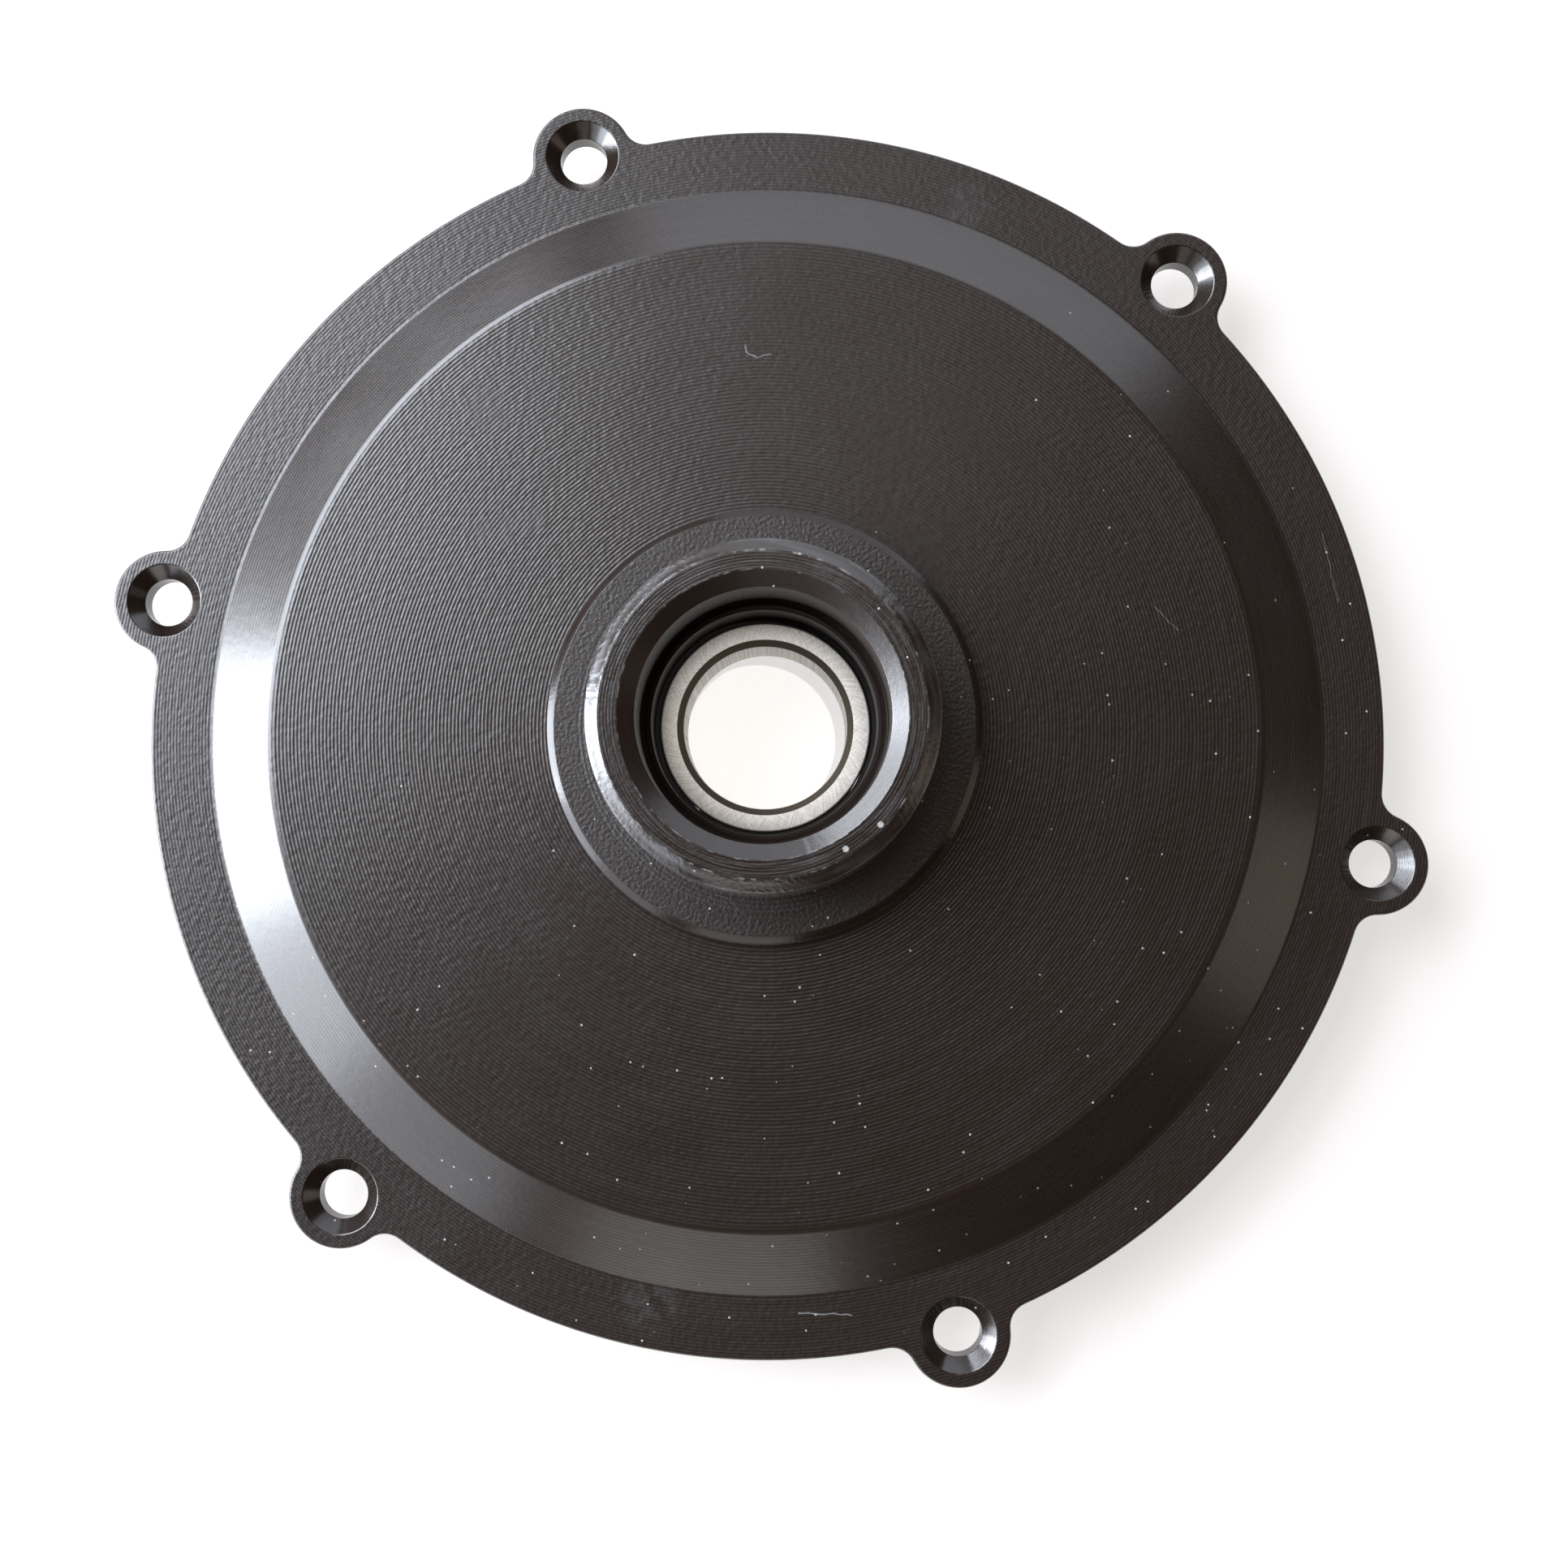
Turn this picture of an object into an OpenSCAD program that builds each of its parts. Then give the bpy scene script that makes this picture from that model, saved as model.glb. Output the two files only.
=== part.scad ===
// Motor end shield: a cast and turned cover with six screw ears, a raised boss and a ball bearing.
// The origin is on the bearing's axis, in the plane of the mounting face. +Z points out of the motor.

/* [Rim and ears] */
// Diameter of the rim between the ears
rim_d = 116; // [90:1:160]
// Thickness of the rim and of the ears
rim_t = 3; // [2:0.1:5]
// Number of screw ears
ear_count = 6; // [3:1:8]
// Radius of an ear round its screw hole
ear_r = 4.8; // [4:0.1:7]
// How far the circle of screw holes lies outside the rim
ear_out = 0.4; // [0:0.1:2]
// Fillet in the corner between an ear and the rim
ear_fillet = 2.2; // [1:0.1:4]
// Diameter of a screw hole
screw_hole_d = 4.5; // [3.2:0.1:5.5]
// Diameter of the countersink at the surface
countersink_d = 7; // [6:0.1:7.8]

/* [Face] */
// Width of the flat land on the rim, from its edge to the foot of the bevel
rim_land_w = 5.8; // [4:0.1:8]
// Width of the bevel that rises from the rim
bevel_w = 6.6; // [4:0.1:9]
// Height of the bevel
bevel_h = 3.4; // [2:0.1:4.5]
// Rise of the conical face from the bevel to the hub
cone_rise = 0.65; // [0.2:0.05:4]
// Height of the step up to the hub
hub_step_h = 2.05; // [0.5:0.05:4]
// How far that step's side leans inwards over its height
hub_draft_w = 0.05; // [0:0.05:0.5]
// Width of the chamfer round the hub's edge
hub_chamfer_w = 0.7; // [0.3:0.05:2]
// Height of the chamfer round the hub's edge
hub_chamfer_h = 0.5; // [0.2:0.05:1.5]
// Width of the flat land between that step and the boss
hub_land_w = 3.8; // [3:0.05:8]
// Wall of the conical face
wall_t = 3; // [2:0.1:4]
// Radius that softens the bevel's upper edge
bevel_edge_r = 2; // [0.5:0.1:4]
// Radius in the corner at the bevel's foot
bevel_foot_r = 0.8; // [0.3:0.1:3]

/* [Boss] */
// Height of the boss above the hub
boss_h = 8.7; // [7.5:0.1:16]
// Width of the chamfer round the boss
boss_chamfer_w = 1.2; // [0.4:0.1:2]
// Height of the chamfer round the boss
boss_chamfer_h = 0.8; // [0.4:0.1:3]
// Width of the flat ring on top of the boss
boss_top_w = 1.65; // [0.8:0.05:4]
// Width of the chamfer at the boss's mouth
mouth_chamfer_w = 1.4; // [0.5:0.1:2.5]
// Depth of the chamfer at the boss's mouth
mouth_chamfer_h = 0.95; // [0.3:0.05:2.5]
// Depth of the shaft seal's recess, below the mouth
recess_depth = 7; // [4:0.1:8]
// Width of the recess's floor
recess_floor_w = 0.9; // [0.5:0.1:3]
// Radius in the corner where the boss meets the hub
boss_foot_r = 0.5; // [0.2:0.1:1.5]

/* [Bearing] */
// Bore of the bearing
bearing_bore = 15; // [12:0.5:18]
// Outer diameter of the bearing
bearing_od = 28; // [27:0.5:34]
// Width of the bearing
bearing_w = 7; // [7:0.5:10]
// Number of balls
ball_count = 10; // [7:1:11]
// Diameter of a ball
ball_d = 3.969; // [3:0.001:4]
// Chamfer on the inner ring's bore
bore_chamfer = 0.6; // [0.2:0.1:0.8]
// Chamfer on the outer ring's outer corners
outer_chamfer = 0.4; // [0.2:0.1:0.8]
// How far the inner ring's shoulder stays below the balls' pitch circle
inner_shoulder_drop = 1.05; // [0.6:0.05:1.4]
// How far the outer ring's shoulder stays above the balls' pitch circle
outer_shoulder_rise = 1.55; // [1.1:0.05:1.8]
// Thickness of the cage's sheet steel
cage_t = 0.4; // [0.2:0.05:0.5]
// Radial width of the cage's ribbon
cage_w = 1.6; // [1:0.1:1.8]
// Diameter of a cage rivet
rivet_d = 0.56; // [0.4:0.02:0.7]
// Diameter of a cage rivet's heads
rivet_head_d = 1; // [0.8:0.05:1.2]
// Height of a cage rivet's heads
rivet_head_h = 0.2; // [0.1:0.05:0.3]
// Thickness of a seal at its bead and its lip
seal_t = 0.5; // [0.4:0.05:0.7]
// How far a seal lies below the bearing's face
seal_inset = 0.25; // [0.1:0.05:0.4]
// Depth of the groove that holds a seal's bead
seal_groove = 0.55; // [0.3:0.05:0.8]

/* [Back] */
// Width of the mounting face, from the rim's edge to the spigot
mount_face_w = 7; // [5:0.1:8.5]
// Height of the locating spigot below the mounting face
spigot_h = 3; // [1:0.1:6]
// Wall of the locating spigot
spigot_wall = 3.5; // [2:0.1:4.5]
// Lead-in chamfer on the spigot and in the bearing's seat
spigot_chamfer = 0.6; // [0.2:0.1:1.5]
// Wall of the bearing's housing
housing_wall = 4; // [2.5:0.1:7]
// How far the housing reaches below the bearing
housing_lip = 0.8; // [0.4:0.1:2]
// Thickness between the bearing's shoulder and the hub's surface
shoulder_t = 2.7; // [1:0.1:4]
// Radius of the fillets in the back's inner corners
back_fillet = 1.5; // [0.5:0.1:2]

/* [Fits] */
// Gap between a ball and each raceway
race_clearance = 0.05; // [0.02:0.01:0.1]
// Gap between a ball and its cage pocket
pocket_clearance = 0.1; // [0.05:0.01:0.15]
// Gap between a seal's lip and the inner ring
lip_clearance = 0.05; // [0.02:0.01:0.1]
// Gap between the casting's lip and the inner ring's shoulder, across the radius
shoulder_clearance = 0.4; // [0.3:0.05:1]

/* [Hidden] */

$fn = 96;
// Segments that draw one rounded corner of a turned outline
corner_steps = 5;
// How far a cutting shape runs past the solid that it cuts
over = 1;
// How far a fillet's cutter bites into the walls it blends, so that it crosses them cleanly
fillet_bite = 0.02;

// Bearing
ball_r = ball_d / 2;
pitch_r = (bearing_bore + bearing_od) / 4;
ball_step = 360 / ball_count;
inner_shoulder_r = pitch_r - inner_shoulder_drop;
outer_shoulder_r = pitch_r + outer_shoulder_rise;
seal_groove_r = outer_shoulder_r + seal_groove;
seal_lip_r = inner_shoulder_r + lip_clearance;
race_r = ball_r + race_clearance;
pocket_r = ball_r + pocket_clearance;
shoulder_break = 0.15;

// Outline of the casting, from the bearing outwards
seat_r = bearing_od / 2;
housing_r = seat_r + housing_wall;
lip_r = inner_shoulder_r + shoulder_clearance;
recess_r = lip_r + recess_floor_w;
mouth_r = recess_r + mouth_chamfer_w;
boss_top_r = mouth_r + boss_top_w;
boss_r = boss_top_r + boss_chamfer_w;
hub_r = boss_r + hub_land_w;
hub_wall_r = hub_r + hub_chamfer_w;
hub_foot_r = hub_wall_r + hub_draft_w;
rim_r = rim_d / 2;
bevel_base_r = rim_r - rim_land_w;
bevel_top_r = bevel_base_r - bevel_w;
bevel_angle = atan(bevel_h / bevel_w);
spigot_r = rim_r - mount_face_w;
spigot_inner_r = spigot_r - spigot_wall;
// Where the back's inner face turns down behind the bevel, so that the wall keeps its thickness
back_turn_r = bevel_top_r - wall_t * tan(bevel_angle / 2);
hole_circle_r = rim_r + ear_out;
// The round blank that the rim and its ears are cut from
blank_r = hole_circle_r + ear_r + over;

// Heights above the mounting face
bevel_top_z = rim_t + bevel_h;
back_turn_z = bevel_top_z - wall_t;
spigot_root_z = back_turn_z - (spigot_inner_r - back_turn_r) * tan(bevel_angle);
cone_top_z = bevel_top_z + cone_rise;
hub_z = cone_top_z + hub_step_h;
boss_z = hub_z + boss_h;
mouth_z = boss_z - mouth_chamfer_h;
recess_z = boss_z - recess_depth;
seat_z = hub_z - shoulder_t;
bearing_z = seat_z - bearing_w / 2;
housing_z = seat_z - bearing_w - housing_lip;

// Replaces a corner of an outline by an arc of radius r that meets both of its sides
function unit(v) = v / norm(v);
function corner(before, here, after, r) =
    let (
        u = unit(before - here),
        v = unit(after - here),
        half = acos(u * v) / 2,
        centre = here + unit(u + v) * r / sin(half),
        start = here + u * r / tan(half) - centre,
        side = sign(u.x * v.y - u.y * v.x),
        sweep = side * (180 - 2 * half)
    )
    [for (i = [0:corner_steps])
        let (a = -sweep * i / corner_steps)
        centre + [start.x * cos(a) - start.y * sin(a), start.x * sin(a) + start.y * cos(a)]];

// An outline of [radius, height, corner radius] entries, with its corners rounded
function rounded(outline) =
    let (n = len(outline), p = [for (e = outline) [e[0], e[1]]])
    [for (i = [0:n - 1])
        each outline[i][2] == 0 ? [p[i]] : corner(p[(i + n - 1) % n], p[i], p[(i + 1) % n], outline[i][2])];

// The casting

// Section of the turned body, with its outer face listed first and its back second
module shield_section() {
    polygon(rounded([
        [blank_r, 0, 0],
        [blank_r, rim_t, 0],
        [bevel_base_r, rim_t, bevel_foot_r],
        [bevel_top_r, bevel_top_z, bevel_edge_r],
        [hub_foot_r, cone_top_z, 0],
        [hub_wall_r, hub_z - hub_chamfer_h, 0],
        [hub_r, hub_z, 0],
        [boss_r, hub_z, boss_foot_r],
        [boss_r, boss_z - boss_chamfer_h, 0],
        [boss_top_r, boss_z, 0],
        [mouth_r, boss_z, 0],
        [recess_r, mouth_z, 0],
        [recess_r, recess_z, 0],
        [lip_r, recess_z, 0],
        [lip_r, seat_z, 0],
        [seat_r, seat_z, 0],
        [seat_r, housing_z + spigot_chamfer, 0],
        [seat_r + spigot_chamfer, housing_z, 0],
        [housing_r, housing_z, 0],
        [housing_r, cone_top_z - wall_t, back_fillet],
        [back_turn_r, back_turn_z, 0],
        [spigot_inner_r, spigot_root_z, back_fillet],
        [spigot_inner_r, -spigot_h, 0],
        [spigot_r - spigot_chamfer, -spigot_h, 0],
        [spigot_r, spigot_chamfer - spigot_h, 0],
        [spigot_r, 0, 0],
    ]));
}

// Outline of an ear on the +X axis, with the metal that blends it into the rim
module ear_outline() {
    rim_reach = rim_r + ear_fillet;
    ear_reach = ear_r + ear_fillet;
    fillet_x = (rim_reach ^ 2 - ear_reach ^ 2 + hole_circle_r ^ 2) / (2 * hole_circle_r);
    fillet_y = sqrt(rim_reach ^ 2 - fillet_x ^ 2);
    difference() {
        union() {
            translate([hole_circle_r, 0]) circle(ear_r);
            translate([rim_r - ear_r, -fillet_y]) square([fillet_x - rim_r + ear_r, 2 * fillet_y]);
        }
        for (side = [-1, 1])
            translate([fillet_x, side * fillet_y])
                circle(ear_fillet + fillet_bite);
    }
}

// Outline of the rim with all its ears
module rim_outline() {
    circle(rim_r);
    for (i = [0:ear_count - 1])
        rotate(i * 360 / ear_count)
            ear_outline();
}

// A screw hole with its countersink
module screw_hole() {
    countersink_h = (countersink_d - screw_hole_d) / 2;
    rotate_extrude()
        polygon([
            [0, -over],
            [screw_hole_d / 2, -over],
            [screw_hole_d / 2, rim_t - countersink_h],
            [countersink_d / 2 + over, rim_t + over],
            [0, rim_t + over],
        ]);
}

module end_shield() {
    color("#2b2a29")
        difference() {
            rotate_extrude() shield_section();
            translate([0, 0, -over])
                linear_extrude(rim_t + 2 * over)
                    difference() {
                        circle(blank_r + over);
                        rim_outline();
                    }
            for (i = [0:ear_count - 1])
                rotate(i * 360 / ear_count)
                    translate([hole_circle_r, 0, 0])
                        screw_hole();
        }
}

// The bearing, drawn about its own centre

module raceway() {
    translate([pitch_r, 0]) circle(race_r);
}

module bearing_outer_ring() {
    face = bearing_w / 2;
    seal_out = face - seal_inset;
    seal_in = seal_out - seal_t;
    mouth = outer_shoulder_r + seal_groove / 2;
    c = outer_chamfer;
    color("#b9b7b2")
        translate([0, 0, bearing_z])
            rotate_extrude()
                difference() {
                    polygon([
                        [seat_r - c, -face],
                        [seat_r, c - face],
                        [seat_r, face - c],
                        [seat_r - c, face],
                        [mouth, face],
                        [mouth, seal_out],
                        [seal_groove_r, seal_out],
                        [seal_groove_r, seal_in],
                        [outer_shoulder_r, seal_in],
                        [outer_shoulder_r, -seal_in],
                        [seal_groove_r, -seal_in],
                        [seal_groove_r, -seal_out],
                        [mouth, -seal_out],
                        [mouth, -face],
                    ]);
                    raceway();
                }
}

module bearing_inner_ring() {
    face = bearing_w / 2;
    bore_r = bearing_bore / 2;
    b = shoulder_break;
    c = bore_chamfer;
    color("#c9c4ba")
        translate([0, 0, bearing_z])
            rotate_extrude()
                difference() {
                    polygon([
                        [bore_r + c, -face],
                        [inner_shoulder_r - b, -face],
                        [inner_shoulder_r, b - face],
                        [inner_shoulder_r, face - b],
                        [inner_shoulder_r - b, face],
                        [bore_r + c, face],
                        [bore_r, face - c],
                        [bore_r, c - face],
                    ]);
                    raceway();
                }
}

// A seal: a bead held in the outer ring's groove, a thin web and a lip beside the inner ring
module seal() {
    out = bearing_w / 2 - seal_inset;
    in = out - seal_t;
    web_inset = seal_t / 5;
    lip_w = seal_groove;
    rotate_extrude()
        polygon([
            [seal_lip_r, in],
            [seal_lip_r + lip_w, in],
            [seal_lip_r + lip_w + web_inset, in + web_inset],
            [outer_shoulder_r - web_inset, in + web_inset],
            [outer_shoulder_r, in],
            [seal_groove_r, in],
            [seal_groove_r, out],
            [outer_shoulder_r, out],
            [outer_shoulder_r - web_inset, out - web_inset],
            [seal_lip_r + lip_w + web_inset, out - web_inset],
            [seal_lip_r + lip_w, out],
            [seal_lip_r, out],
        ]);
}

module front_seal() {
    color("#1c1c1d")
        translate([0, 0, bearing_z])
            seal();
}

module rear_seal() {
    color("#1c1c1d")
        translate([0, 0, bearing_z])
            mirror([0, 0, 1])
                seal();
}

// Copies its children to each ball's place on the pitch circle, or half a step on from there
module on_pitch_circle(offset_steps = 0) {
    for (i = [0:ball_count - 1])
        rotate((i + offset_steps) * ball_step)
            translate([pitch_r, 0, 0])
                children();
}

// One half of the cage: a flat ribbon with a dished pocket over each ball
module cage_half() {
    pocket_top = pocket_r + cage_t;
    difference() {
        intersection() {
            difference() {
                cylinder(h = pocket_top + over, r = pitch_r + cage_w / 2);
                translate([0, 0, -over]) cylinder(h = pocket_top + 3 * over, r = pitch_r - cage_w / 2);
            }
            union() {
                cylinder(h = cage_t, r = pitch_r + cage_w);
                on_pitch_circle() sphere(pocket_top);
            }
        }
        on_pitch_circle() sphere(pocket_r);
        on_pitch_circle(0.5) translate([0, 0, -over]) cylinder(h = cage_t + 2 * over, d = rivet_d);
    }
}

module cage_front_half() {
    color("#a8a49a")
        translate([0, 0, bearing_z])
            cage_half();
}

module cage_rear_half() {
    color("#a8a49a")
        translate([0, 0, bearing_z])
            mirror([0, 0, 1])
                cage_half();
}

module cage_rivets() {
    color("#8f8b82")
        translate([0, 0, bearing_z])
            on_pitch_circle(0.5) {
                translate([0, 0, -cage_t]) cylinder(h = 2 * cage_t, d = rivet_d);
                translate([0, 0, cage_t]) cylinder(h = rivet_head_h, d = rivet_head_d);
                translate([0, 0, -cage_t - rivet_head_h]) cylinder(h = rivet_head_h, d = rivet_head_d);
            }
}

module ball(i) {
    color("#d6d4cf")
        rotate((i - 1) * ball_step)
            translate([pitch_r, 0, bearing_z])
                sphere(ball_r);
}

end_shield();
bearing_outer_ring();
bearing_inner_ring();
front_seal();
rear_seal();
cage_front_half();
cage_rear_half();
cage_rivets();
for (i = [1:ball_count])
    ball(i);
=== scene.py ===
import math
import random

import bmesh
import bpy
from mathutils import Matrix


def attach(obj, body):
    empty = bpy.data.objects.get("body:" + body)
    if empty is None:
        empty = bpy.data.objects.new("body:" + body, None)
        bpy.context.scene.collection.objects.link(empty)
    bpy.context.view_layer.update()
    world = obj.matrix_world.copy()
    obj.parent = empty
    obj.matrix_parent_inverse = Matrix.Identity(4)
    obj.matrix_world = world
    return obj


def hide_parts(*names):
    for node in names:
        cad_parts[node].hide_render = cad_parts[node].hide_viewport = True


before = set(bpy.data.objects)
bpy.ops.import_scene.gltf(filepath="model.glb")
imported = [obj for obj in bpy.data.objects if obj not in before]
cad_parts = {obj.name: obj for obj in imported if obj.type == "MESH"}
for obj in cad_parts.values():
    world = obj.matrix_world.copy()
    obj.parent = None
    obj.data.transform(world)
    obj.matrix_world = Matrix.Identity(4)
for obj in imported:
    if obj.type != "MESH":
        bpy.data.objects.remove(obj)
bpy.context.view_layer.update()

# The casting: one aluminium piece, cast, turned all over its outer face and coated satin black. Six screw
# ears stand out from its rim. The outline of rim and ears is drawn first and raised to the rim's thickness.
MM = 0.001
rim_r = 58 * MM
rim_t = 3 * MM
rim_edge = 0.3 * MM
ear_count = 6
ear_r = 4.8 * MM
ear_fillet = 2.2 * MM
ear_circle_r = 58.4 * MM
ear_steps, fillet_steps, rim_steps = 32, 8, 44
edge_steps = 4


def arc(centre, radius, start, end, steps):
    """Points on an arc from one angle towards another, without the last one."""
    angles = [start + (end - start) * i / steps for i in range(steps)]
    return [(centre[0] + radius * math.cos(a), centre[1] + radius * math.sin(a)) for a in angles]


def rim_outline():
    """The rim's outline, with its ears and the fillets beside them."""
    rim_reach = rim_r + ear_fillet
    ear_reach = ear_r + ear_fillet
    fillet_x = (rim_reach ** 2 - ear_reach ** 2 + ear_circle_r ** 2) / (2 * ear_circle_r)
    fillet_y = math.sqrt(rim_reach ** 2 - fillet_x ** 2)
    ear_end = math.atan2(fillet_y, fillet_x - ear_circle_r)
    rim_end = math.atan2(fillet_y, fillet_x)
    ear_pitch = 2 * math.pi / ear_count
    stretch = (
        arc((ear_circle_r, 0), ear_r, -ear_end, ear_end, ear_steps)
        + arc((fillet_x, fillet_y), ear_fillet, math.pi + ear_end, math.pi + rim_end, fillet_steps)
        + arc((0, 0), rim_r, rim_end, ear_pitch - rim_end, rim_steps)
    )
    fillet = arc((fillet_x, fillet_y), ear_fillet, math.pi + rim_end, math.pi + ear_end, fillet_steps)
    mirrored = [(x, -y) for x, y in fillet]
    outline = []
    for i in range(ear_count):
        c, s = math.cos(i * ear_pitch), math.sin(i * ear_pitch)
        outline += [(c * x - s * y, s * x + c * y) for x, y in mirrored + stretch]
    return outline


def start_piece(name, outline, height):
    """A flat face with this outline, selected in edit mode, as the start of a new piece."""
    bpy.ops.object.select_all(action="DESELECT")
    bpy.ops.mesh.primitive_circle_add(vertices=len(outline), fill_type="NGON")
    piece = bpy.context.object
    piece.name = name
    for vertex, (x, y) in zip(piece.data.vertices, outline):
        vertex.co = (x, y, height)
    bpy.ops.object.mode_set(mode="EDIT")
    bpy.ops.mesh.select_mode(type="FACE")
    bpy.ops.mesh.select_all(action="SELECT")
    return piece


def round_edge(radius, steps):
    """Rounds the selected face's edge over, towards the side that the face looks to."""
    turns = [math.pi / 2 * i / steps for i in range(steps + 1)]
    for a, b in zip(turns, turns[1:]):
        bpy.ops.mesh.inset(
            thickness=radius * (math.cos(a) - math.cos(b)),
            depth=radius * (math.sin(b) - math.sin(a)),
        )


def turn_to(radius, height):
    """Extrudes the selected face to a disc of this radius and height, each point keeping its bearing."""
    bpy.ops.mesh.extrude_region()
    mesh = bpy.context.object.data
    shape = bmesh.from_edit_mesh(mesh)
    for vertex in shape.verts:
        if vertex.select:
            grow = radius / math.hypot(vertex.co.x, vertex.co.y)
            vertex.co = (vertex.co.x * grow, vertex.co.y * grow, height)
    bmesh.update_edit_mesh(mesh)


def rounded(profile, steps):
    """Profile points (radius, height), with an arc at each (radius, height, corner radius)."""
    points = []
    for i, (r, z, *corner_r) in enumerate(profile):
        if not corner_r:
            points.append((r, z))
            continue
        before, after = profile[i - 1], profile[(i + 1) % len(profile)]
        a1 = math.atan2(before[1] - z, before[0] - r)
        a2 = math.atan2(after[1] - z, after[0] - r)
        turn = math.remainder(a2 - a1, 2 * math.pi)
        half = abs(turn) / 2
        middle = a1 + turn / 2
        reach = corner_r[0] / math.sin(half)
        centre = (r + reach * math.cos(middle), z + reach * math.sin(middle))
        sweep = math.copysign(math.pi / 2 - half, turn)
        points += arc(centre, corner_r[0], middle + math.pi + sweep, middle + math.pi - sweep, steps)
        end = middle + math.pi - sweep
        points.append((centre[0] + corner_r[0] * math.cos(end), centre[1] + corner_r[0] * math.sin(end)))
    return points


casting = start_piece("end_shield_casting", rim_outline(), rim_edge)
bpy.ops.mesh.extrude_region()
bpy.ops.transform.translate(value=(0, 0, rim_t - 2 * rim_edge))
round_edge(rim_edge, edge_steps)

# The casting's turned profile: bevel, conical face, hub step and boss on the outside, then the recess for a
# shaft seal, the bearing's seat and the plain dished back. The tool leaves small radii at its edges.
bevel_base_r = 52.2 * MM
bevel_top_r = 45.6 * MM
bevel_top_z = 6.4 * MM
hub_foot_r = 19.8 * MM
hub_foot_z = 7.05 * MM
hub_wall_r = 19.75 * MM
hub_wall_z = 8.6 * MM
hub_r = 19.05 * MM
hub_z = 9.1 * MM
boss_r = 15.25 * MM
boss_shoulder_z = 17 * MM
boss_top_r = 14.05 * MM
boss_z = 17.8 * MM
mouth_r = 12.4 * MM
recess_r = 11 * MM
mouth_z = 16.85 * MM
recess_z = 10.8 * MM
lip_r = 10.1 * MM
seat_z = 6.4 * MM
seat_r = 14 * MM
lead_in = 0.6 * MM
housing_z = -1.4 * MM
housing_r = 18 * MM
back_z = 4.05 * MM
back_turn_r = 44.87 * MM
back_turn_z = 3.4 * MM
spigot_r = 51 * MM
spigot_inner_r = 47.5 * MM
spigot_root_z = 2.05 * MM
spigot_z = -3 * MM
crisp = 0.12 * MM
tool_r = 0.3 * MM
bevel_foot_round = 0.8 * MM
bevel_top_round = 2 * MM
boss_foot_round = 0.5 * MM
back_round = 1.5 * MM
corner_steps = 4

for ring in rounded([
    (bevel_base_r + rim_t, rim_t),
    (bevel_base_r, rim_t, bevel_foot_round),
    (bevel_top_r, bevel_top_z, bevel_top_round),
    (hub_foot_r, hub_foot_z, crisp),
    (hub_wall_r, hub_wall_z, crisp),
    (hub_r, hub_z, crisp),
    (boss_r, hub_z, boss_foot_round),
    (boss_r, boss_shoulder_z, crisp),
    (boss_top_r, boss_z, crisp),
    (mouth_r, boss_z, crisp),
    (recess_r, mouth_z, crisp),
    (recess_r, recess_z, crisp),
    (lip_r, recess_z, crisp),
    (lip_r, seat_z),
    (seat_r, seat_z),
    (seat_r, housing_z + lead_in, crisp),
    (seat_r + lead_in, housing_z, crisp),
    (housing_r, housing_z, tool_r),
    (housing_r, back_z, back_round),
    (back_turn_r, back_turn_z, back_round),
    (spigot_inner_r, spigot_root_z, back_round),
    (spigot_inner_r, spigot_z, tool_r),
    (spigot_r - lead_in, spigot_z, crisp),
    (spigot_r, spigot_z + lead_in, crisp),
    (spigot_r, 0),
], corner_steps):
    turn_to(*ring)
bpy.ops.mesh.delete(type="ONLY_FACE")


chip_w = 0.35 * MM
chip_depth = 0.07 * MM
chip_reach = 0.22 * MM


def chip_edge(radius, height, towards_axis, bearings, count, seed):
    """Knocks small chips out of a turned edge, at random between two bearings in degrees."""
    draw = random.Random(seed)
    chips = []
    for i in range(count):
        bearing = math.radians(draw.uniform(*bearings))
        chips.append((bearing, draw.uniform(0.3, 1) * chip_depth, draw.uniform(0.4, 1.6) * chip_w))
    mesh = bpy.context.object.data
    shape = bmesh.from_edit_mesh(mesh)
    for vertex in shape.verts:
        r = vertex.co.xy.length
        off_edge = math.hypot(r - radius, vertex.co.z - height) / chip_reach
        if off_edge > 1:
            continue
        bearing = math.atan2(vertex.co.y, vertex.co.x)
        cut = 0
        for chip_bearing, depth, width in chips:
            off_chip = abs(math.remainder(bearing - chip_bearing, 2 * math.pi)) * radius / width
            cut = max(cut, depth * (1 - off_chip) * (1 - off_edge))
        grow = 1 - towards_axis * cut / r
        vertex.co = (vertex.co.x * grow, vertex.co.y * grow, vertex.co.z - cut / 2)
    bmesh.update_edit_mesh(mesh)


chip_edge(boss_r, boss_shoulder_z, 1, (40, 215), 16, 3)
chip_edge(boss_top_r, boss_z, 1, (55, 85), 6, 5)
chip_edge(mouth_r, boss_z, -1, (-110, -60), 6, 8)


broad_span = 0.7 * MM
level_normal = 0.9999
merge_within = 0.0005 * MM


def select_faces(test):
    """Selects the faces that pass the test."""
    mesh = bpy.context.object.data
    shape = bmesh.from_edit_mesh(mesh)
    for face in shape.faces:
        face.select_set(test(face))
    bmesh.update_edit_mesh(mesh)


def on_axis(face):
    """True for a disc round the axis."""
    return face.calc_center_median().xy.length < MM


def broad(face):
    """True for a level face, or one that spans more of the turned profile than an edge's rounding does."""
    if abs(face.normal.z) > level_normal:
        return True
    radii = [vertex.co.xy.length for vertex in face.verts]
    heights = [vertex.co.z for vertex in face.verts]
    return math.hypot(max(radii) - min(radii), max(heights) - min(heights)) > broad_span


def close_piece():
    """Merges doubled points, turns every face outwards and leaves edit mode."""
    bpy.ops.mesh.select_all(action="SELECT")
    bpy.ops.mesh.remove_doubles(threshold=merge_within)
    bpy.ops.mesh.normals_make_consistent(inside=False)
    bpy.ops.object.mode_set(mode="OBJECT")


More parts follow.
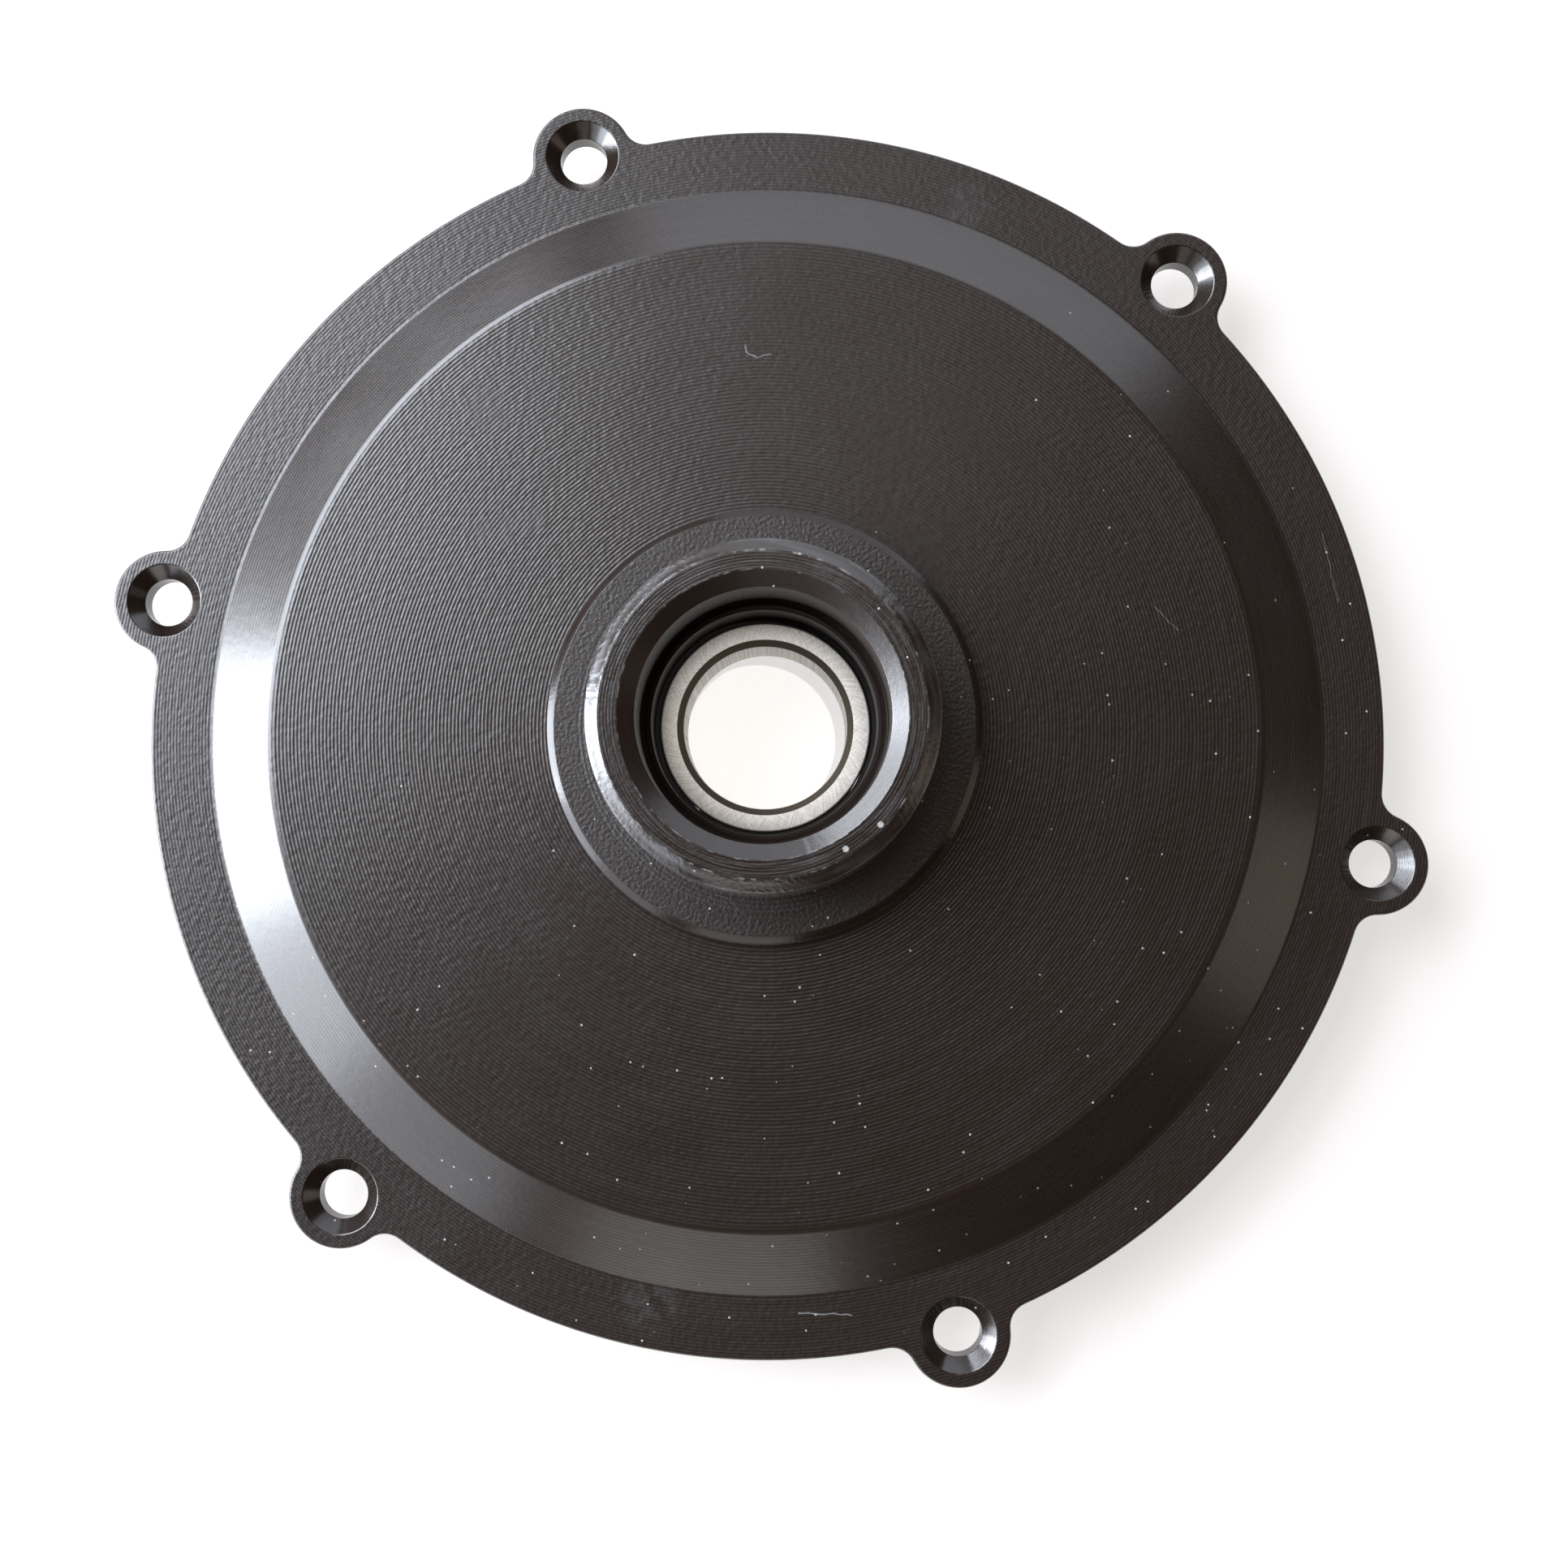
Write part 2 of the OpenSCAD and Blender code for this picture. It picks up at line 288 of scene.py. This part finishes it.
select_faces(lambda face: on_axis(face) and abs(face.calc_center_median().z - rim_edge) < crisp)
round_edge(rim_edge, edge_steps)
turn_to(spigot_r, 0)
bpy.ops.mesh.delete(type="ONLY_FACE")
close_piece()

# The screw holes: drilled through each ear for an M4 screw and countersunk from the outer face, with the
# drill's burr broken at both ends. One cutter is turned, copied round the ears and cut out of the casting.
hole_r = 2.25 * MM
sink_r = 3.5 * MM
sink_round = 0.25 * MM
hole_edge = 0.15 * MM
hole_segments = 72
cut_past = 0.5 * MM
nudge = 0.002 * MM

hole_start = arc((0, 0), hole_r + hole_edge, 0, 2 * math.pi, hole_segments)
cutter = start_piece("hole_cutter", hole_start, -cut_past)
for ring in rounded([
    (hole_r + hole_edge, nudge - hole_edge / 2),
    (hole_r, hole_edge),
    (hole_r, rim_t - (sink_r - hole_r), crisp),
    (sink_r, rim_t + nudge, sink_round),
    (sink_r + hole_edge, rim_t + nudge),
    (sink_r + hole_edge, rim_t + cut_past),
], corner_steps):
    turn_to(*ring)
close_piece()
bpy.ops.object.mode_set(mode="EDIT")
bpy.ops.mesh.select_all(action="SELECT")
bpy.ops.transform.translate(value=(ear_circle_r, 0, 0))
for i in range(ear_count - 1):
    bpy.ops.mesh.duplicate()
    bpy.ops.transform.rotate(value=2 * math.pi / ear_count, orient_axis="Z", center_override=(0, 0, 0))
bpy.ops.object.mode_set(mode="OBJECT")


def take_up(piece):
    """Makes a piece the only one that operators act on."""
    bpy.ops.object.select_all(action="DESELECT")
    bpy.context.view_layer.objects.active = piece
    piece.select_set(True)


take_up(casting)
drilled = casting.modifiers.new("drilled_ears", "BOOLEAN")
drilled.operation = "DIFFERENCE"
drilled.solver = "EXACT"
drilled.object = cutter
bpy.ops.object.modifier_apply(modifier=drilled.name)
bpy.data.objects.remove(cutter)


sharp_angle = math.radians(40)


def smooth(piece):
    """Smooth shading that keeps sharp edges and gives broad faces their own normals."""
    take_up(piece)
    bpy.ops.object.shade_smooth_by_angle(angle=sharp_angle)
    bpy.ops.object.mode_set(mode="EDIT")
    select_faces(broad)
    bpy.ops.mesh.set_normals_from_faces(keep_sharp=True)
    bpy.ops.object.mode_set(mode="OBJECT")


smooth(casting)

# The casting's coat: satin black over the turned metal. The lathe's grooves show through it, it has a slight
# orange peel, it is rubbed grey along the boss's edges, and dust and a few scratches lie on it.
black = (0.0185, 0.0113, 0.0082, 1)
worn_black = (0.028, 0.022, 0.019, 1)
rubbed_grey = (0.30, 0.30, 0.30, 1)
dust_white = (0.66, 0.64, 0.61, 1)


class Value:
    """A socket in a finish's nodes. Arithmetic on it adds Math nodes, and node() adds any other kind."""

    def __init__(self, socket):
        self.socket = socket

    def node(self, kind, settings, sockets, output=0):
        tree = self.socket.id_data
        made = tree.nodes.new("ShaderNode" + kind)
        for name, setting in settings.items():
            setattr(made, name, setting)
        for name, given in sockets.items():
            if isinstance(given, Value):
                tree.links.new(given.socket, made.inputs[name])
            else:
                made.inputs[name].default_value = given
        return Value(made.outputs[output])

    def math(self, operation, *operands):
        return self.node("Math", {"operation": operation}, dict(enumerate(operands)))

    def of(self, operation):
        return self.math(operation, self)

    def __add__(self, other):
        return self.math("ADD", self, other)

    __radd__ = __add__

    def __sub__(self, other):
        return self.math("SUBTRACT", self, other)

    def __rsub__(self, other):
        return self.math("SUBTRACT", other, self)

    def __mul__(self, other):
        return self.math("MULTIPLY", self, other)

    __rmul__ = __mul__

    def __truediv__(self, other):
        return self.math("DIVIDE", self, other)


def new_finish(name, **constants):
    """A material with these constant values on its shader. Returns it, the shader and Object coordinates."""
    material = bpy.data.materials.new(name)
    material.use_nodes = True
    shader = material.node_tree.nodes["Principled BSDF"]
    for socket, value in constants.items():
        shader.inputs[socket.replace("_", " ")].default_value = value
    place = Value(material.node_tree.nodes.new("ShaderNodeTexCoord").outputs["Object"])
    return material, shader, place


def feed(shader, **values):
    """Links values to the shader's sockets."""
    for socket, value in values.items():
        shader.id_data.links.new(value.socket, shader.inputs[socket.replace("_", " ")])


def step(value, low, high):
    """Rises smoothly from 0 at low to 1 at high, or falls where low is the larger."""
    if low > high:
        return 1 - step(value, high, low)
    return value.node("MapRange", {"interpolation_type": "SMOOTHSTEP"},
                      {"Value": value, "From Min": low, "From Max": high})


def noise(place, size, detail=2.0):
    """Noise between 0 and 1 with features of about this size."""
    spread = place.node("VectorMath", {"operation": "SCALE"}, {0: place, "Scale": 1 / size})
    return spread.node("TexNoise", {}, {"Vector": spread, "Scale": 1.0, "Detail": detail})


def parts(vector):
    """The three numbers of a vector or colour."""
    split = vector.node("SeparateXYZ", {}, {"Vector": vector}).socket.node
    return [Value(socket) for socket in split.outputs]


def polar(place):
    """The radius, angle and height of a place."""
    x, y, z = parts(place)
    return (x * x + y * y).of("SQRT"), y.math("ARCTAN2", y, x), z


def streaks(angle, length, run, width):
    """Noise in streaks round the axis: their length is an angle, their width a distance along the run."""
    place = angle.node("CombineXYZ", {}, {"X": angle / length, "Y": run / width})
    return noise(place, 1)


def mixed(factor, low, high):
    """A colour between two."""
    return factor.node("Mix", {"data_type": "RGBA"}, {0: factor, 6: low, 7: high}, output=2)


def bump(height):
    """The normal of a surface raised by a height in metres."""
    return height.node("Bump", {}, {"Height": height, "Distance": 1.0})


def dust(place):
    """Where specks of dust lie. They are sparse at the upper left and thicken towards the lower right."""
    dust_cell = 1.5 * MM
    speck_r = 0.13 * MM
    dusty_share = 0.28
    thickening = 6
    cell = place.node("TexVoronoi", {}, {"Vector": place, "Scale": 1 / dust_cell})
    chance = parts(Value(cell.socket.node.outputs["Color"]))[0]
    x, y, z = parts(place)
    share = dusty_share + thickening * x - thickening * y
    return step(cell * dust_cell, speck_r, 0.5 * speck_r) * share.math("GREATER_THAN", share, chance)


def wander(place, size, reach):
    """The place in plan, moved about by up to a reach so that a mark on it isn't quite straight."""
    drift = Value(noise(place, size).socket.node.outputs["Color"])
    moved = drift.node("VectorMath", {"operation": "MULTIPLY_ADD"},
                       {0: drift, 1: (reach, reach, 0), 2: place})
    return moved.node("VectorMath", {"operation": "MULTIPLY"}, {0: moved, 1: (1, 1, 0)})


def scratch(plan, start, end, width, strength):
    """A thin mark between two points of the plan, in millimetres."""
    run = [(b - a) * MM for a, b in zip(start, end)] + [0]
    reach = run[0] ** 2 + run[1] ** 2
    from_start = plan.node("VectorMath", {"operation": "SUBTRACT"},
                           {0: plan, 1: (start[0] * MM, start[1] * MM, 0)})
    along = from_start.node("VectorMath", {"operation": "DOT_PRODUCT"},
                            {0: from_start, 1: [part / reach for part in run]}, output="Value")
    along = along.node("Clamp", {}, {"Value": along})
    nearest = along.node("VectorMath", {"operation": "SCALE"}, {0: run, "Scale": along})
    off = nearest.node("VectorMath", {"operation": "DISTANCE"}, {0: nearest, 1: from_start}, output="Value")
    return strength * step(off, width * MM, 0.3 * width * MM)


def spot(place, x, y, z, radius):
    """A round spot with a soft edge, in millimetres."""
    off = place.node("VectorMath", {"operation": "DISTANCE"},
                     {0: place, 1: (x * MM, y * MM, z * MM)}, output="Value")
    return step(off, radius * MM, 0.5 * radius * MM)


def most(marks):
    """The strongest of several marks."""
    strongest = marks[0]
    for mark in marks[1:]:
        strongest = strongest.math("MAXIMUM", strongest, mark)
    return strongest


cloud_size = 7 * MM
streak_turn = 0.30
rub_edge = 0.14 * MM
rub_core = 0.02 * MM
rub_patch = 0.9 * MM
smudge_grain = 1.6 * MM
scratch_wave = 0.8 * MM
scratch_drift = 0.4 * MM


def coated(name, roughness, grooves, peel, streak_colour=worn_black, shine=0.75, rings_within=None,
           scratches=(), flecks=(), smudges=(), rubbed=()):
    """The coat. Its grooves and its orange peel are each given as a pitch and a depth, in millimetres."""
    material, shader, place = new_finish(name, IOR=1.75, Specular_IOR_Level=shine)
    radius, angle, height = polar(place)
    run = radius + height
    groove_pitch, groove_depth = grooves[0] * MM, grooves[1] * MM
    peel_size, peel_depth = peel[0] * MM, peel[1] * MM
    uneven = streaks(angle, streak_turn, run, groove_pitch)
    wave = (run * (2 * math.pi / groove_pitch)).of("SINE") * (0.7 + 0.6 * uneven)
    if rings_within:
        inside = step(radius, (rings_within + 0.05) * MM, (rings_within - 0.05) * MM)
        wave = wave * inside - 1.2 * inside
    relief = wave * groove_depth + noise(place, peel_size, 1) * peel_depth
    cloud = noise(place, cloud_size, 3)
    colour = mixed(step(uneven, 0.40, 0.85), black, streak_colour)
    rough = roughness - 0.05 + 0.10 * cloud - 0.05 * wave
    if rubbed:
        edges = most([step((radius - edge).of("ABSOLUTE"), rub_edge, rub_core) for edge in rubbed])
        colour = mixed(edges * step(noise(place, rub_patch, 3), 0.50, 0.70), colour, rubbed_grey)
    if smudges:
        broken = step(noise(place, smudge_grain, 3), 0.36, 0.62)
        rough = rough + 0.14 * broken * most([spot(place, *smudge) for smudge in smudges])
    if scratches:
        plan = wander(place, scratch_wave, scratch_drift)
        colour = mixed(most([scratch(plan, *mark) for mark in scratches]), colour, rubbed_grey)
    if flecks:
        colour = mixed(most([spot(place, *fleck) for fleck in flecks]), colour, dust_white)
    specks = dust(place)
    feed(shader, Base_Color=mixed(specks, colour, dust_white), Roughness=rough + 0.3 * specks,
         Normal=bump(relief))
    return material


face_scratches = [
    ((-9.30, 34.60), (-9.00, 34.00), 0.10, 0.8),
    ((-9.00, 34.00), (-8.00, 33.75), 0.10, 0.8),
    ((-8.00, 33.75), (-6.83, 34.35), 0.10, 0.6),
    ((32.76, 18.70), (35.39, 16.96), 0.05, 0.5),
]
rim_scratches = [
    ((14.68, -51.58), (19.37, -50.70), 0.09, 0.9),
    ((47.55, 29.70), (50.30, 23.56), 0.05, 0.5),
]
rim_smudges = [
    (-39.5, 35.4, 3, 3.0),
    (-41.0, 33.1, 3, 2.4),
    (7.9, 53.4, 3, 3.2),
    (0.8, -53.8, 3, 3.4),
]
hub_scratches = [
    ((-2.01, -15.36), (0.73, -15.95), 0.05, 0.12),
    ((0.73, -15.95), (2.10, -17.13), 0.05, 0.20),
    ((2.10, -17.13), (7.10, -16.19), 0.04, 0.10),
]
boss_flecks = [
    (11.71, -7.06, 17.8, 0.34),
    (9.27, -9.69, 17.8, 0.34),
]
tool_grey = (0.10, 0.10, 0.10, 1)
face_smudges = [
    (-31.5, 23.7, 6.7, 3.0),
    (-28.3, 12.8, 6.7, 2.6),
    (-25.2, 14.0, 6.7, 1.8),
]
finishes = {
    "rim": coated("turned_rim", 0.37, (0.30, 0.0050), (0.6, 0.050), scratches=rim_scratches,
                  smudges=rim_smudges),
    "bevel": coated("bevel_coat", 0.27, (0.15, 0.0004), (0.9, 0.008)),
    "face": coated("turned_face", 0.32, (0.33, 0.0085), (0.6, 0.040), scratches=face_scratches,
                   smudges=face_smudges),
    "hub": coated("wrinkled_hub", 0.42, (0.40, 0.0080), (0.35, 0.060), rings_within=17.0,
                  scratches=hub_scratches),
    "hub_edge": coated("hub_edge", 0.24, (0.30, 0.0), (0.35, 0.010), shine=0.40),
    "boss": coated("boss_coat", 0.27, (0.27, 0.0050), (0.40, 0.030), tool_grey, flecks=boss_flecks,
                   rubbed=(boss_top_r, mouth_r)),
    "mouth": coated("mouth_chamfer", 0.29, (0.20, 0.0004), (0.5, 0.008)),
    "recess": coated("turned_recess", 0.40, (0.45, 0.0060), (0.4, 0.004), shine=0.12),
    "sink": coated("countersink", 0.20, (0.20, 0.0010), (0.6, 0.008)),
    "back": coated("cast_back", 0.42, (0.30, 0.0), (0.55, 0.06)),
    "turned_back": coated("turned_back", 0.32, (0.30, 0.0060), (0.9, 0.010)),
}


level_face = 0.95
facing_down = -0.1


def finish_at(middle, normal):
    """Which finish a face of the casting has, by its place."""
    r, z = middle.xy.length, middle.z
    to_hole = abs(math.remainder(math.atan2(middle.y, middle.x), 2 * math.pi / ear_count)) * r
    in_hole = math.hypot(r - ear_circle_r, to_hole) < sink_r + hole_edge
    if in_hole and abs(normal.z) < level_face:
        return "sink"
    if r > spigot_r + crisp and z < rim_t - rim_edge or r > spigot_inner_r and z < housing_z:
        return "turned_back"
    if r < seat_r + lead_in + crisp and z < seat_z + crisp or r < housing_r and z < housing_z + crisp:
        return "turned_back"
    if normal.z < facing_down or z < back_z:
        return "rim" if r > bevel_base_r else "back"
    if r > bevel_base_r:
        return "rim"
    if r > bevel_top_r:
        return "bevel"
    if r > hub_wall_r:
        return "face"
    if r > hub_r:
        return "hub_edge"
    if r > boss_r - crisp and z < boss_shoulder_z - tool_r:
        return "hub"
    if r > mouth_r - crisp:
        return "boss"
    if z > mouth_z:
        return "mouth"
    return "recess"


for material in finishes.values():
    casting.data.materials.append(material)
order = list(finishes)
for face in casting.data.polygons:
    face.material_index = order.index(finish_at(face.center, face.normal))
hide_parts("end_shield")
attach(casting, "shield")

# The bearing's inner ring: hardened steel, turned, then ground on its faces, bore and ball track. It is free
# to turn on the balls. Its face shows crossed grinding marks, and painted shade darkens its bore chamfer and
# its outer edge.
bearing_z = 2.9 * MM
ring_half = 3.5 * MM
ring_bore_r = 7.5 * MM
ring_chamfer = 0.6 * MM
ring_r = 9.7 * MM
ring_break = 0.15 * MM
ball_circle_r = 10.75 * MM
track_r = 2.0345 * MM
ring_segments = 192
track_steps = 16
bright_steel = (0.96, 0.94, 0.90, 1)
grey_steel = (0.60, 0.57, 0.53, 1)
# A dark brown, painted as shade onto the ring's bore chamfer and its outer edge.
shade_brown = (0.115, 0.095, 0.072, 1)
mark_lean = 70
cross_lean = -110
mark_depth = 0.0040 * MM
shade_reach = 0.32 * MM
shade_full = 0.05 * MM
bore_clear = 0.02 * MM
bore_shaded = 0.06 * MM

ring_top = bearing_z + ring_half
ring_foot = bearing_z - ring_half
track_end = math.acos((ball_circle_r - ring_r) / track_r)
track = arc((ball_circle_r, bearing_z), track_r, math.pi - track_end, math.pi + track_end, track_steps)
track.append((ring_r, bearing_z - track_r * math.sin(track_end)))
ring_profile = rounded([
    (ring_bore_r, ring_foot + ring_chamfer, crisp),
    (ring_bore_r, ring_top - ring_chamfer, crisp),
    (ring_bore_r + ring_chamfer, ring_top, crisp),
    (ring_r - ring_break, ring_top, ring_break),
    (ring_r, ring_top - ring_break, ring_break / 2),
    *track,
    (ring_r, ring_foot + ring_break, ring_break / 2),
    (ring_r - ring_break, ring_foot, ring_break),
    (ring_bore_r + ring_chamfer, ring_foot, crisp),
], corner_steps)
start_r, start_z = ring_profile[0]
inner_ring = start_piece("ground_inner_ring", arc((0, 0), start_r, 0, 2 * math.pi, ring_segments), start_z)
for ring in ring_profile[1:] + ring_profile[:1]:
    turn_to(*ring)
select_faces(on_axis)
bpy.ops.mesh.delete(type="ONLY_FACE")
close_piece()
smooth(inner_ring)

ground, shader, place = new_finish("ground_ring", Metallic=0.4)
radius, angle, height = polar(place)
leaning = streaks(angle + mark_lean * radius, 0.014, radius, 1.6 * MM)
crossing = streaks(angle + cross_lean * radius, 0.011, radius, 1.1 * MM)
marks = leaning * crossing * 2
# Painted shade: a dark brown band on the bore chamfer, and another along the outer edge next to the seal's
# gap.
painted_shade = most([
    step(radius, ring_bore_r + 1.05 * ring_chamfer, ring_bore_r + 0.95 * ring_chamfer)
    * step(radius, ring_bore_r + bore_clear, ring_bore_r + bore_shaded),
    step(radius, ring_r - shade_reach, ring_r - shade_full),
])
feed(shader, Base_Color=mixed(painted_shade, mixed(step(marks, 0.25, 0.75), grey_steel, bright_steel), shade_brown),
     Roughness=0.45 + 0.20 * marks, Normal=bump(marks * mark_depth))
inner_ring.data.materials.append(ground)
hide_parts("bearing_inner_ring")
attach(inner_ring, "inner_ring")

# The rest of the bearing, pressed into its seat from behind: a ground outer ring, two moulded rubber seals,
# ten polished balls, and a cage of two ribbons pressed from sheet steel and riveted together.
outer_steel, shader, place = new_finish("ground_outer_ring", Metallic=1.0)
radius, angle, height = polar(place)
marks = streaks(angle, 0.05, radius + height, 0.05 * MM)
feed(shader, Base_Color=mixed(step(marks, 0.3, 0.7), grey_steel, bright_steel),
     Roughness=0.26 + 0.2 * marks, Normal=bump(marks * (0.0008 * MM)))

rubber_black = (0.010, 0.010, 0.011, 1)
rubber_grey = (0.022, 0.021, 0.021, 1)
rubber, shader, place = new_finish("seal_rubber", Specular_IOR_Level=0.4)
radius, angle, height = polar(place)
bloom = noise(place, 0.7 * MM, 3)
rings = (radius * (2 * math.pi / (0.5 * MM))).of("SINE")
feed(shader, Base_Color=mixed(step(bloom, 0.35, 0.75), rubber_black, rubber_grey),
     Roughness=0.44 + 0.2 * bloom, Normal=bump(rings * (0.004 * MM) + bloom * (0.01 * MM)))

ball_grey = (0.60, 0.59, 0.57, 1)
ball_bright = (0.74, 0.73, 0.72, 1)
polished, shader, place = new_finish("polished_ball", Metallic=1.0)
haze = noise(place, 0.5 * MM, 3)
feed(shader, Base_Color=mixed(haze, ball_grey, ball_bright), Roughness=0.05 + 0.08 * haze)

sheet_brown = (0.34, 0.31, 0.27, 1)
sheet_grey = (0.52, 0.49, 0.45, 1)
pressed, shader, place = new_finish("pressed_sheet", Metallic=1.0)
rolled = noise(place, 0.3 * MM, 3)
feed(shader, Base_Color=mixed(rolled, sheet_brown, sheet_grey), Roughness=0.32 + 0.2 * rolled,
     Normal=bump(rolled * (0.004 * MM)))

bearing_finishes = {
    "end_shield": finishes["back"],
    "bearing_outer_ring": outer_steel,
    "bearing_inner_ring": ground,
    "front_seal": rubber,
    "rear_seal": rubber,
    "cage_front_half": pressed,
    "cage_rear_half": pressed,
    "cage_rivets": pressed,
}
for name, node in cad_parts.items():
    node.data.materials.clear()
    node.data.materials.append(bearing_finishes.get(name, polished))

# The stage: white paper under the part, in a white surround. A broad window of light stands low on the left,
# softer ones above it, and the dim, warm room fills the right. A snoot, a lamp with a narrow tube, lights the
# bearing inside the boss.
paper_white = (0.60, 0.57, 0.545, 1)
paper_cream = (0.58, 0.545, 0.515, 1)
paper_glow = (0.66, 0.655, 0.65, 1)
white = (1, 1, 1, 1)
unlit = (0, 0, 0, 1)
room_warm = (0.045, 0.020, 0.010, 1)
sheet_r = 3
paper_grain = 12 * MM
near_r, far_r = 0.25, 0.65
glossy_share = 0.02

bpy.ops.object.select_all(action="DESELECT")
bpy.ops.mesh.primitive_circle_add(vertices=128, radius=sheet_r, fill_type="NGON", location=(0, 0, spigot_z))
floor = bpy.context.object
floor.name = "paper_floor"


def seen_rays(tree):
    """1 on the rays that show the background: straight to the camera, by a reflection or through glass."""
    rays = tree.nodes.new("ShaderNodeLightPath").outputs
    return [Value(rays["Is " + kind + " Ray"]) for kind in ("Camera", "Glossy", "Transmission")]


paper, shader, place = new_finish("white_paper", Roughness=0.9, Specular_IOR_Level=0.1, Emission_Strength=1.0)
camera_ray, glossy_ray, clear_ray = seen_rays(paper.node_tree)
radius, angle, height = polar(place)
far_off = step(radius, near_r, far_r)
feed(shader, Base_Color=mixed(noise(place, paper_grain, 4), paper_white, paper_cream),
     Emission_Color=mixed(camera_ray + glossy_ray + clear_ray, unlit, mixed(far_off, paper_glow, white)))
floor.data.materials.append(paper)

world = bpy.data.worlds.new("white_surround")
world.use_nodes = True
bpy.context.scene.world = world
background = world.node_tree.nodes["Background"]
camera_ray, glossy_ray, clear_ray = seen_rays(world.node_tree)
feed(background, Color=mixed(camera_ray + clear_ray + glossy_share * glossy_ray, room_warm, white))

photo_turn = math.radians(12.32)
lamp_distance = 0.8


def lamp(name, bearing, elevation, width, tall, power, colour):
    """A soft lamp that looks at the part, at a bearing counted from the picture's right, in degrees."""
    data = bpy.data.lights.new(name, "AREA")
    data.shape = "RECTANGLE"
    data.size = width
    data.size_y = tall
    data.energy = power
    data.color = colour
    holder = bpy.data.objects.new(name, data)
    holder.visible_camera = False
    turn = math.radians(bearing) + photo_turn
    tilt = math.radians(elevation)
    holder.location = (
        lamp_distance * math.cos(tilt) * math.cos(turn),
        lamp_distance * math.cos(tilt) * math.sin(turn),
        lamp_distance * math.sin(tilt),
    )
    holder.rotation_euler = (math.pi / 2 - tilt, 0, turn + math.pi / 2)
    bpy.context.collection.objects.link(holder)


cool = (0.86, 0.91, 1.0)
plain = (1.0, 0.98, 0.96)
warm = (1.0, 0.84, 0.70)
lamp("window", 180, 12, 0.38, 0.36, 5.7, cool)
lamp("window_left", 201, 12, 0.34, 0.36, 2.0, cool)
lamp("high_window", 145, 32, 0.88, 0.36, 6.2, cool)
lamp("upper_window", 153, 50, 0.64, 0.36, 2.8, cool)
lamp("left_wall", 225, 12, 0.34, 0.36, 0.62, cool)
lamp("far_wall", 76, 18, 0.85, 0.40, 1.10, cool)
lamp("near_wall", 262, 12, 0.40, 0.36, 0.48, plain)
lamp("ceiling", 90, 68, 0.36, 0.36, 0.20, plain)
lamp("room_fill", 345, 12, 0.30, 0.36, 0.18, warm)

snoot_turn = math.radians(30) + photo_turn
snoot_lean = math.radians(7)
snoot_aim = 6 * MM
snoot_data = bpy.data.lights.new("snoot", "SPOT")
snoot_data.energy = 10.5
snoot_data.color = plain
snoot_data.spot_size = math.radians(1.4)
snoot_data.spot_blend = 0.3
snoot_data.shadow_soft_size = 0.0015
snoot = bpy.data.objects.new("snoot", snoot_data)
snoot.location = (
    lamp_distance * math.sin(snoot_lean) * math.cos(snoot_turn),
    lamp_distance * math.sin(snoot_lean) * math.sin(snoot_turn),
    lamp_distance * math.cos(snoot_lean) + snoot_aim,
)
snoot.rotation_euler = (0, snoot_lean, snoot_turn)
bpy.context.collection.objects.link(snoot)

# The camera: close over the part and a little to its near side, as fitted to the rim, the ears and the boss
# in the photograph.
camera_data = bpy.data.cameras.new("camera")
camera_data.lens = 36.27
camera_data.sensor_width = 36
camera_data.clip_start = 0.01
camera = bpy.data.objects.new("camera", camera_data)
camera.location = (5.750 * MM, -13.656 * MM, 150.812 * MM)
camera.rotation_euler = (math.radians(3.70), math.radians(0.39), photo_turn)
bpy.context.collection.objects.link(camera)
scene = bpy.context.scene
scene.camera = camera
scene.view_settings.view_transform = "Standard"
